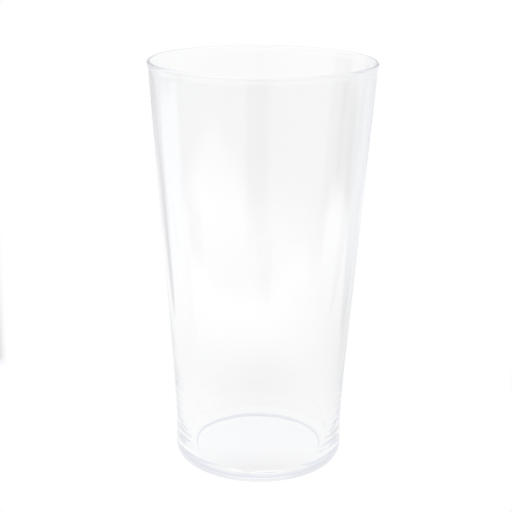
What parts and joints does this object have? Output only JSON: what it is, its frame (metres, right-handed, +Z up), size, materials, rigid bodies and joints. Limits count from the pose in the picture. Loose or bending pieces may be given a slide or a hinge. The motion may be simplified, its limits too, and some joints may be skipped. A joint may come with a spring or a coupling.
{
  "type": "pint glass",
  "caption": "Clear conical pint glass: straight flared wall, beaded lip, thick rounded base with a near-upright foot band.",
  "frame": {"origin": "centre of the foot, on the plane the glass stands on", "axes": "+Z up along the glass's axis of revolution, towards the open rim; X and Y are interchangeable"},
  "size_m": [0.0858, 0.0858, 0.157],
  "materials": {
    "clear_glass": "clear, smooth, fire-polished"
  },
  "bodies": {
    "root": {"glass_body": "clear_glass"}
  },
  "joints": []
}
